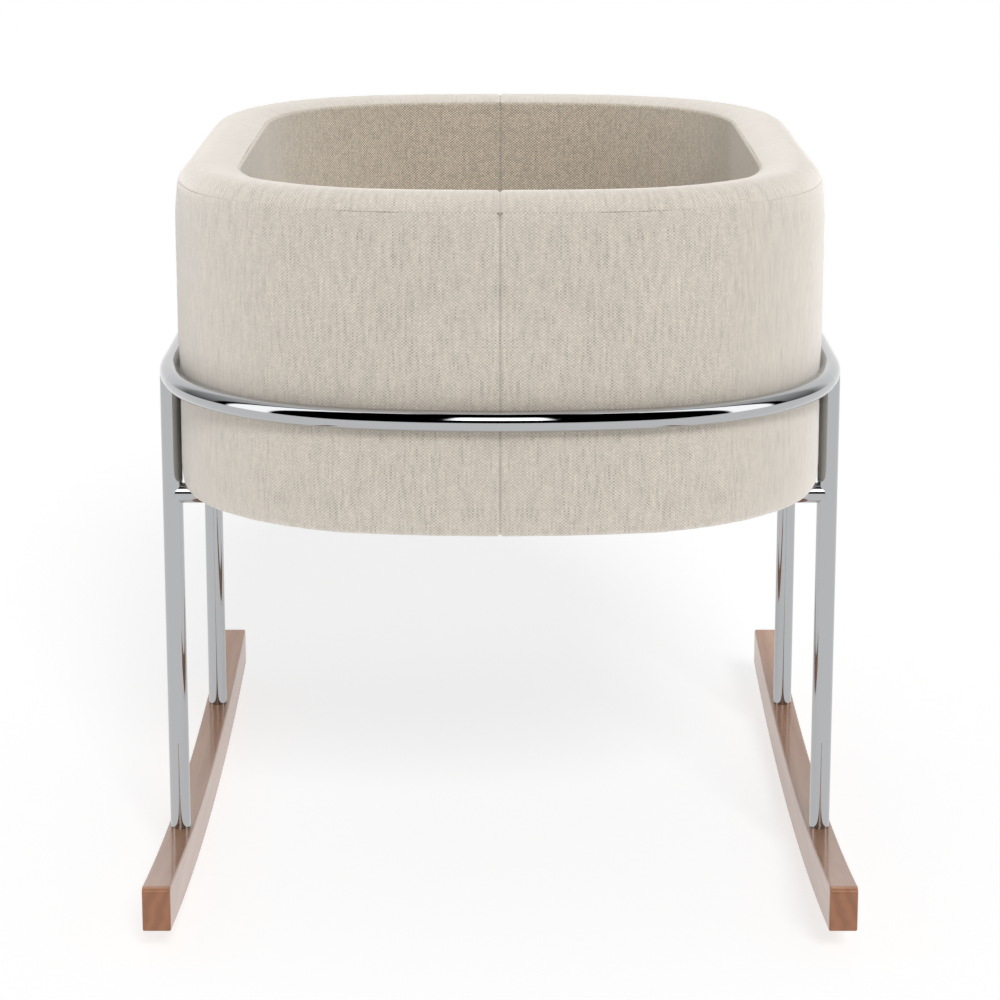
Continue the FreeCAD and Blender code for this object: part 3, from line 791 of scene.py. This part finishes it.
def curl_reach(radius):
    """Turn on an arc that half a seam takes up, in degrees."""
    return math.degrees(sizes().level_seam * math.sin(math.radians(CURL_TURN)) / radius)


def shoulder():
    """Centre and radius of the rim's outer roundness, and the turn of the seam on it."""
    edge = sizes().crown_round
    centre = (edge, RIM_TOP - edge)
    return centre, edge, math.degrees(math.asin((RIM_SEAM - centre[1]) / edge))


def crown():
    """Centre and radius of the rim's top, and the turn of the inner seam on it."""
    group = sizes()
    radius = crown_radius()
    centre = (group.crown_round, RIM_TOP - radius)
    return centre, radius, 90 + lip()[1] - math.degrees(group.lip_width / radius)


def lip():
    """Centre of the rim's rounded inner edge, and its turn away from upright in degrees."""
    group = sizes()
    reach = crown_radius() - group.lip_round
    inset = WALL - group.lip_round
    height = RIM_TOP - crown_radius() + math.sqrt(reach ** 2 - (inset - group.crown_round) ** 2)
    return (inset, height), math.degrees(math.asin((inset - group.crown_round) / reach))


def outer_line():
    """From the hem's edge under the base, round the lower edge and up to the rim seam."""
    group = sizes()
    low, turn = TUB_LOW.z, group.bottom_round
    tuck = group.under_edge - 1 * MM
    centre, radius, seam = shoulder()
    seam -= curl_reach(radius)
    line = finely([(group.hem_width + 4 * MM, low + 1.1 * MM), (tuck + 3 * MM, low + 1.1 * MM),
                   (tuck, low), (turn, low)], group.mesh_step)
    line += bend((turn, low + turn), turn, -90, 0, 6)[1:]
    line += finely([(0, low + turn), (0, centre[1])], group.mesh_step)[1:]
    line += bend(centre, radius, 0, seam, 6)[1:]
    return line + curled(centre, radius, seam, 1)[1:]


def crown_line():
    """Over the padded rim, from its outer seam to the seam at its inner lip."""
    edge, edge_radius, outer_seam = shoulder()
    top, top_radius, inner_seam = crown()
    outer_seam += curl_reach(edge_radius)
    inner_seam -= curl_reach(top_radius)
    line = curled(edge, edge_radius, outer_seam, -1)[::-1]
    line += bend(edge, edge_radius, outer_seam, 90, 12)[1:]
    line += bend(top, top_radius, 90, inner_seam, 10)[1:]
    return line + curled(top, top_radius, inner_seam, 1)[1:]


def liner_line():
    """From the floor up the inner wall, over the lip and into the seam on the rim."""
    group = sizes()
    centre, tilt = lip()
    top, top_radius, seam = crown()
    seam += curl_reach(top_radius)
    line = finely([(WALL, LINER_LOW.z), (WALL, centre[1] - 4 * MM)], group.mesh_step)
    line += finely([(WALL, centre[1] - 4 * MM), (WALL, centre[1])], 1 * MM)[1:]
    line += bend(centre, group.lip_round, 180, 90 + tilt, 7)[1:]
    return line + curled(top, top_radius, seam, -1)


def line_map(oval, line):
    """Cloth map of a swept piece: along the outline, and along the profile's line."""
    runs = [0.0]
    for before, after in zip(line, line[1:]):
        runs.append(runs[-1] + math.dist(before, after))
    known = {}

    def place(point):
        along, inset = oval.place(point.x, point.y)
        key = (round(inset, 5), round(point.z, 5))
        if key not in known:
            nearest = min(range(len(line)), key=lambda index: math.dist(line[index], key))
            known[key] = runs[nearest]
        return math.copysign(along, point.y), known[key]

    return place


def sewn_pair(name, line, outwards, levels, swell, nodes, finish="heathered_linen"):
    """The right and left cloths of one part of the tub's cover, each on its own node."""
    oval = Oval()
    right = swept_half(name + "_right", line, oval, sizes().mesh_step)
    turn_faces(right, outwards)
    lay_cloth(right, line_map(oval, line))
    move_points(right, wall_shift(oval, levels, swell))
    thicken(right, sizes().cloth)
    smooth(right)
    left = mirrored(right, name + "_left")
    for piece, node in zip((right, left), nodes):
        dressed(piece, finish, BASSINET, [node])


# ---- operators

class BASSINET_OT_frame_finishes(bpy.types.Operator):
    """Give the tubes, rockers, fixings and inner pieces their finishes"""

    bl_idname = "bassinet.frame_finishes"
    bl_label = "Frame Finishes"

    def execute(self, context):
        by_slot = {"chrome_tube": "polished_chrome", "plain_steel": "zinc_plate",
                   "rocker_wood": "rocker_wood", "plywood": "raw_board", "foam": "open_foam",
                   "linen": "heathered_linen", "under_cloth": "under_cloth",
                   "mattress_cloth": "fine_cotton"}
        slots = {part["node"]: part["material_slot"] for part in frame["record"]["subparts"]}
        for node, item in frame["nodes"].items():
            for holder in item.material_slots:
                holder.material = material(by_slot[slots[node]])
        return {"FINISHED"}


class BASSINET_OT_padding(bpy.types.Operator):
    """Shape the foam that wraps the tub's shell on both sides and over its top"""

    bl_idname = "bassinet.padding"
    bl_label = "Wall Padding"

    def execute(self, context):
        group = sizes()
        depth = group.padding_depth
        shell_in = SHELL_INSET + SHELL_BOARD + SHELL_GAP
        shell_out = SHELL_INSET - SHELL_GAP
        top = SHELL_HIGH.z + 0.2 * MM
        crown = crown_radius() - depth
        fall = math.degrees(math.asin((WALL - depth - group.crown_round) / crown))
        edge = (group.crown_round, RIM_TOP - group.crown_round)
        line = finely([(depth, TUB_LOW.z + depth), (depth, edge[1])], 40 * MM)
        line += bend(edge, edge[0] - depth, 0, 90, 8)[1:]
        line += bend((edge[0], RIM_TOP - depth - crown), crown, 90, 90 + fall, 8)[1:]
        line += finely([line[-1], (WALL - depth, FLOOR_LOW.z + 0.3 * MM)], 40 * MM)[1:]
        line += [(shell_in, FLOOR_LOW.z + 0.3 * MM), (shell_in, top), (shell_out, top),
                 (shell_out, TUB_LOW.z + depth)]
        piece = swept_ring("foam_padding", line, Oval(), 14 * MM)
        smooth(piece, 40)
        dressed(piece, "open_foam", BASSINET, ["foam_outer", "foam_inner", "rim_foam"])
        return {"FINISHED"}


class BASSINET_OT_outer_panels(bpy.types.Operator):
    """Sew the two outer panels of the tub, seamed at the front, the rear and the rim"""

    bl_idname = "bassinet.outer_panels"
    bl_label = "Outer Panels"

    def execute(self, context):
        sewn_pair("outer_panel", outer_line(), True, (RIM_SEAM, TUB_LOW.z), outer_swell,
                  ("cover_outer_right", "cover_outer_left"))
        return {"FINISHED"}


class BASSINET_OT_rim_bands(bpy.types.Operator):
    """Sew the two bands over the padded rim"""

    bl_idname = "bassinet.rim_bands"
    bl_label = "Rim Bands"

    def execute(self, context):
        sewn_pair("rim_cloth", crown_line(), True, (RIM_SEAM, RIM_TOP - 5 * MM), None,
                  ("rim_band_right", "rim_band_left"))
        return {"FINISHED"}


class BASSINET_OT_inner_wall(bpy.types.Operator):
    """Sew the two cloths of the inner wall, from the floor over the rim's lip"""

    bl_idname = "bassinet.inner_wall"
    bl_label = "Inner Wall"

    def execute(self, context):
        # The inner cloths take the inner linen, whose darker colour is painted shade.
        sewn_pair("inner_cloth", liner_line(), False, (LINER_HIGH.z, LINER_LOW.z), None,
                  ("liner_right", "liner_left"), "shaded_inner_linen")
        return {"FINISHED"}


class BASSINET_OT_floor_cloth(bpy.types.Operator):
    """Lay the cloth over the board inside the tub"""

    bl_idname = "bassinet.floor_cloth"
    bl_label = "Floor Cloth"

    def execute(self, context):
        piece = oval_sheet("floor_cloth", WALL + 0.2 * MM, FLOOR_HIGH.z, 8 * MM)
        lay_cloth(piece, lambda point: (point.x, point.y))
        move_points(piece, lambda point, normal: Vector(
            (0, 0, -0.25 * MM * (1 + noise.noise((point.x * 11, point.y * 11, 5))))))
        thicken(piece, 0.9 * MM)
        smooth(piece, 40)
        dressed(piece, "heathered_linen", BASSINET, ["floor_fabric"])
        return {"FINISHED"}


class BASSINET_OT_underside(bpy.types.Operator):
    """Staple the thin under-cloth below the base"""

    bl_idname = "bassinet.underside"
    bl_label = "Underside"

    def execute(self, context):
        edge = sizes().under_edge
        piece = oval_sheet("under_cloth", edge, TUB_LOW.z, 8 * MM)
        piece.data.flip_normals()
        oval = Oval()

        def slack(point, normal):
            _, inset = oval.place(point.x, point.y)
            loose = eased(inset, edge + 6 * MM, edge + 40 * MM)
            rise = 0.3 * (1 + noise.noise((point.x * 14, point.y * 14, 7)))
            fold = 0.35 * eased(edge + 9 * MM - inset, 0, 1.5 * MM)
            return Vector((0, 0, (0.5 - fold + rise * loose) * MM))

        move_points(piece, slack)
        thicken(piece, 0.6 * MM)
        smooth(piece, 40)
        dressed(piece, "under_cloth", BASSINET, ["dust_cover"])
        staples = self.staples(oval, edge + 5 * MM)
        dressed(staples, "zinc_plate", BASSINET, [])
        return {"FINISHED"}

    def staples(self, oval, inset):
        """A row of staples along the under-cloth's edge, clear of the cross tubes."""
        tube_low, tube_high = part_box("cross_tube_rear")
        copies = []
        model = self.staple()
        quarter = oval.quarter()
        count = round(quarter / STAPLE_SPACING)
        track = self.track(oval, inset)
        for index in range(count):
            wanted = (index + 0.5) / count * quarter
            _, across, up = min(track, key=lambda spot: abs(spot[0] - wanted))
            following = min(track, key=lambda spot: abs(spot[0] - wanted - 2 * MM))
            heading = math.atan2(following[2] - up, following[1] - across)
            if tube_low.y - STAPLE_CLEARANCE < up < tube_high.y + STAPLE_CLEARANCE:
                continue
            for mirror_x in (1, -1):
                for mirror_y in (1, -1):
                    lean = noise.noise((index * 3.7, mirror_x * 5.1, mirror_y * 9.3)) * 0.25
                    turn = math.atan2(mirror_y * math.sin(heading),
                                      mirror_x * math.cos(heading)) + lean
                    spot = (mirror_x * across, mirror_y * up, TUB_LOW.z)
                    copies.append(copied(model, placed(spot, turn)))
        bpy.data.objects.remove(model)
        return joined(copies, "staples")

    def track(self, oval, inset):
        """Places along a quarter of the outline: distance from the side, across and up."""
        spots = [(step * MM, TUB_HALF_WIDTH - inset, step * MM)
                 for step in range(int(oval.straight / MM))]
        travelled = oval.straight
        for centre, radius, turn in oval.arcs():
            start = oval.turns[oval.centres.index(centre)]
            for step in range(int(radius * turn / MM)):
                angle = start + step * MM / radius
                spots.append((travelled + step * MM, centre.x + (radius - inset)
                              * math.cos(angle), centre.y + (radius - inset)
                              * math.sin(angle)))
            travelled += radius * turn
        return spots

    def staple(self):
        """One flat-wire staple with its ends turned up into the board."""
        piece = primitive("cube", size=1)
        edit()
        bpy.ops.transform.resize(value=(9 * MM, 1.1 * MM, 0.5 * MM))
        bpy.ops.mesh.select_mode(type="FACE")
        bpy.ops.mesh.select_all(action="DESELECT")
        leave()
        pick_faces(piece, lambda face: abs(face.normal.x) > 0.9)
        bpy.ops.mesh.extrude_faces_move(TRANSFORM_OT_shrink_fatten={"value": 0.5 * MM})
        leave()
        pick_faces(piece, lambda face: face.normal.z > 0.9 and abs(face.center.x) > 4.5 * MM)
        extrude((0, 0, 0.8 * MM))
        leave()
        add_modifier(piece, "BEVEL", width=0.2 * MM, segments=1)
        apply_modifiers(piece)
        return piece


class BASSINET_OT_mattress(bpy.types.Operator):
    """Fill the mattress, and sew its cover with piping round both edges"""

    bl_idname = "bassinet.mattress"
    bl_label = "Mattress"

    def execute(self, context):
        group = sizes()
        inset = TUB_HALF_WIDTH - PAD_HIGH.x
        start = inset + group.pad_side_swell + 1 * MM
        low, high = PAD_LOW.z + 0.4 * MM, PAD_HIGH.z - 1.6 * MM
        pad = swept_ring("mattress_pad", [(start, low)], Oval(), 10 * MM)
        edit("EDGE")
        bpy.ops.mesh.edge_face_add()
        extrude((0, 0, high - low))
        bpy.ops.mesh.select_all(action="SELECT")
        bpy.ops.mesh.normals_make_consistent(inside=False)
        leave()
        only(pad)
        pad.data.remesh_voxel_size = 6 * MM
        bpy.ops.object.voxel_remesh()
        rest = [vertex.co.copy() for vertex in pad.data.vertices]
        self.inflate(pad)
        middle = (low + high) / 2
        for vertex, before in zip(pad.data.vertices, rest):
            move = vertex.co - before
            flat = Vector((move.x, move.y))
            if flat.length:
                cap = group.pad_side_swell
                flat *= cap * math.tanh(flat.length / cap) / flat.length
            rise = group.pad_swell * math.tanh(move.z / group.pad_swell)
            if before.z < middle:
                rise = 0 if before.z < low + 4 * MM else rise * 0.3
            vertex.co = before + Vector((flat.x, flat.y, rise))
        add_modifier(pad, "SUBSURF", levels=1, render_levels=1)
        apply_modifiers(pad)
        smooth(pad)
        dressed(pad, "fine_cotton", MATTRESS, ["mattress_core", "mattress_cover"])
        for name, height in (("upper", high - 1.5 * MM), ("lower", low + group.piping)):
            radius = group.piping
            line = bend((start - 0.2 * MM, height), radius, 0, 324, 9)
            ring = swept_ring("mattress_piping_" + name, line, Oval(), 8 * MM)
            smooth(ring)
            dressed(ring, "fine_cotton", MATTRESS, [])
        return {"FINISHED"}

    def inflate(self, pad):
        """Swell the pad's cloth with air pressure, and keep the shape that it reaches."""
        scene = bpy.context.scene
        scene.frame_set(1)
        air = add_modifier(pad, "CLOTH")
        air.settings.use_pressure = True
        air.settings.uniform_pressure_force = AIR_PRESSURE
        air.settings.effector_weights.gravity = 0
        air.settings.quality = 5
        air.collision_settings.use_collision = False
        for number in range(1, CLOTH_FRAMES + 1):
            scene.frame_set(number)
        apply_modifiers(pad)
        scene.frame_set(1)


class BASSINET_OT_fixings(bpy.types.Operator):
    """Turn the bolts that hold the legs and the base, with their hexagon sockets"""

    bl_idname = "bassinet.fixings"
    bl_label = "Fixings"

    def execute(self, context):
        self.bolts("base_bolt_set", "base_bolts", 3.5 * MM, 5.5 * MM, 3 * MM, 4 * MM, 1.6 * MM)
        self.bolts("leg_bolt_set", "leg_bolts", 8 * MM, 6.5 * MM, 4 * MM, 6 * MM, 0.7 * MM)
        return {"FINISHED"}

    def bolts(self, name, node, head, radius, shank, socket, edge):
        """Four bolts with their heads down, at the corners of a node's box."""
        low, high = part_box(node)
        x, y = high.x - radius, high.y - radius
        model = self.bolt(head, radius, shank, high.z - low.z, socket, edge)
        copies = []
        for across in (x, -x):
            for along in (y, -y):
                turn = noise.noise((across * 40, along * 40, 2)) * 3
                copies.append(copied(model, placed((across, along, low.z), turn)))
        bpy.data.objects.remove(model)
        piece = joined(copies, name)
        smooth(piece, 35)
        dressed(piece, "zinc_plate", BASSINET, [node])

    def bolt(self, head, radius, shank, whole, socket, edge):
        """One bolt standing on its head at the origin."""
        piece = primitive("cylinder", vertices=40, radius=radius, depth=head,
                          location=(0, 0, head / 2))
        bpy.ops.object.transform_apply(location=True)
        pick_faces(piece, lambda face: face.normal.z > 0.9)
        bpy.ops.mesh.select_mode(type="FACE")
        bpy.ops.mesh.inset(thickness=radius - shank)
        extrude((0, 0, whole - head))
        bpy.ops.mesh.select_all(action="DESELECT")
        leave()
        for line in piece.data.edges:
            ends = [piece.data.vertices[index].co for index in line.vertices]
            line.select = all(end.z < 0.01 * MM for end in ends)
        bpy.ops.object.mode_set(mode="EDIT")
        bpy.ops.mesh.select_mode(type="EDGE")
        bpy.ops.mesh.bevel(offset=edge, segments=4)
        leave()
        cutter = primitive("cylinder", vertices=6, radius=socket / 2 / math.cos(math.pi / 6),
                           depth=head, location=(0, 0, 0.1 * MM))
        bpy.ops.object.transform_apply(location=True)
        add_modifier(piece, "BOOLEAN", operation="DIFFERENCE", object=cutter, solver="EXACT")
        apply_modifiers(piece)
        bpy.data.objects.remove(cutter)
        return piece


class BASSINET_OT_stage(bpy.types.Operator):
    """Set the pale floor, the studio lights and the camera"""

    bl_idname = "bassinet.stage"
    bl_label = "Stage"

    def execute(self, context):
        floor = self.floor()
        self.world()
        self.lights(floor)
        self.camera()
        context.scene.view_settings.view_transform = "Standard"
        return {"FINISHED"}

    def floor(self):
        """A wide grey floor whose own glow takes it to white, so that its shadow stays pale."""
        floor = primitive("plane", size=60)
        floor.name = "studio_floor"
        make = Maker(bpy.data.materials.new("studio_floor"))
        make.set(base_color=FLOOR_TONE, roughness=1.0, specular_ior_level=0.0,
                 emission_color=(1, 1, 1), emission_strength=FLOOR_GLOW)
        floor.data.materials.append(make.owner)
        return floor

    def world(self):
        """Even white light; to polished metal, a dark studio with soft boxes round it."""
        world = bpy.data.worlds.new("studio")
        bpy.context.scene.world = world
        make = Maker(world)
        x, y, z = make.parts(make.add("ShaderNodeTexCoord").outputs["Generated"])
        side = make.math("ARCTAN2", make.math("ABSOLUTE", x), make.times(y, -1))
        side = make.times(side, 180 / math.pi)
        height = make.times(make.math("ARCSINE", z), 180 / math.pi)

        def within(value, low, high, soft=1.5):
            rise = make.spread(value, low - soft, low + soft)
            fall = make.spread(value, high - soft, high + soft, 1, 0)
            return make.times(rise, fall)

        front_box = make.times(within(side, -20, 9), within(height, 22, 50))
        side_box = make.times(within(side, 67, 91), within(height, -20, 82))
        boxes = make.math("MULTIPLY_ADD", front_box, 4.0, make.times(side_box, 2.0))
        back = make.times(make.spread(side, 98, 101), make.spread(height, 0, 65, 0.12, 0.85))
        wall = make.times(make.spread(side, 118, 140), 0.95)
        above = make.math("MAXIMUM", boxes, make.math("MAXIMUM", back, wall))
        below = make.spread(height, -1.0, -0.2, 1, 0)
        studio = make.math("MAXIMUM", above, below)
        path = make.add("ShaderNodeLightPath")
        shown = []
        for strength in (WORLD_LIGHT, studio, 1.0):
            sources = {"Color": (1, 1, 1), "Strength": strength}
            shown.append(make.add("ShaderNodeBackground", sources).outputs[0])
        blend = shown[0]
        for ray, light in (("Is Glossy Ray", shown[1]), ("Is Camera Ray", shown[2])):
            sources = (path.outputs[ray], blend, light)
            blend = make.add("ShaderNodeMixShader", enumerate(sources)).outputs[0]
        make.feed(make.tree.nodes["World Output"].inputs[0], blend)

    def lights(self, floor):
        """A soft key from the front right, and lights from above and all round that leave
        out the floor, so that the floor shows the key's shadow alone."""
        lit = bpy.data.collections.new("left_out_of_fill")
        lit.objects.link(floor)
        lit.collection_objects[0].light_linking.link_state = "EXCLUDE"
        for name, place, power, spread in LIGHTS:
            light = bpy.data.lights.new(name, "SUN")
            light.energy = power
            light.angle = math.radians(spread)
            item = self.added(name, light)
            item.rotation_euler = Vector(place).to_track_quat("Z", "Y").to_euler()
            item.visible_glossy = False
            if name != "key":
                item.light_linking.receiver_collection = lit

    def added(self, name, data):
        """A new object in the scene for a light or a camera."""
        item = bpy.data.objects.new(name, data)
        bpy.context.collection.objects.link(item)
        return item

    def camera(self):
        lens = bpy.data.cameras.new("camera")
        lens.sensor_width = 36
        lens.lens = LENS
        lens.clip_end = 80
        item = self.added("camera", lens)
        item.location = EYE
        item.rotation_euler = (math.radians(90 - TILT), 0, 0)
        bpy.context.scene.camera = item


STEPS = (BASSINET_OT_frame_finishes, BASSINET_OT_padding, BASSINET_OT_outer_panels,
         BASSINET_OT_rim_bands, BASSINET_OT_inner_wall, BASSINET_OT_floor_cloth,
         BASSINET_OT_underside, BASSINET_OT_mattress, BASSINET_OT_fixings,
         BASSINET_OT_stage)


class BASSINET_PT_build(bpy.types.Panel):
    """Steps that dress the bassinet"""

    bl_label = "Rocking Bassinet"
    bl_idname = "BASSINET_PT_build"
    bl_space_type = "VIEW_3D"
    bl_region_type = "UI"
    bl_category = "Bassinet"

    def draw(self, context):
        for step in STEPS:
            self.layout.operator(step.bl_idname)


CLASSES = (BassinetSizes, BassinetColours, *STEPS, BASSINET_PT_build)


def register():
    for item in CLASSES:
        bpy.utils.register_class(item)
    bpy.types.Scene.bassinet_sizes = bpy.props.PointerProperty(type=BassinetSizes)
    bpy.types.Scene.bassinet_colours = bpy.props.PointerProperty(type=BassinetColours)


def unregister():
    del bpy.types.Scene.bassinet_colours
    del bpy.types.Scene.bassinet_sizes
    for item in reversed(CLASSES):
        bpy.utils.unregister_class(item)


def main():
    register()
    for step in STEPS:
        group, name = step.bl_idname.split(".")
        getattr(getattr(bpy.ops, group), name)()


if __name__ == "__main__":
    main()
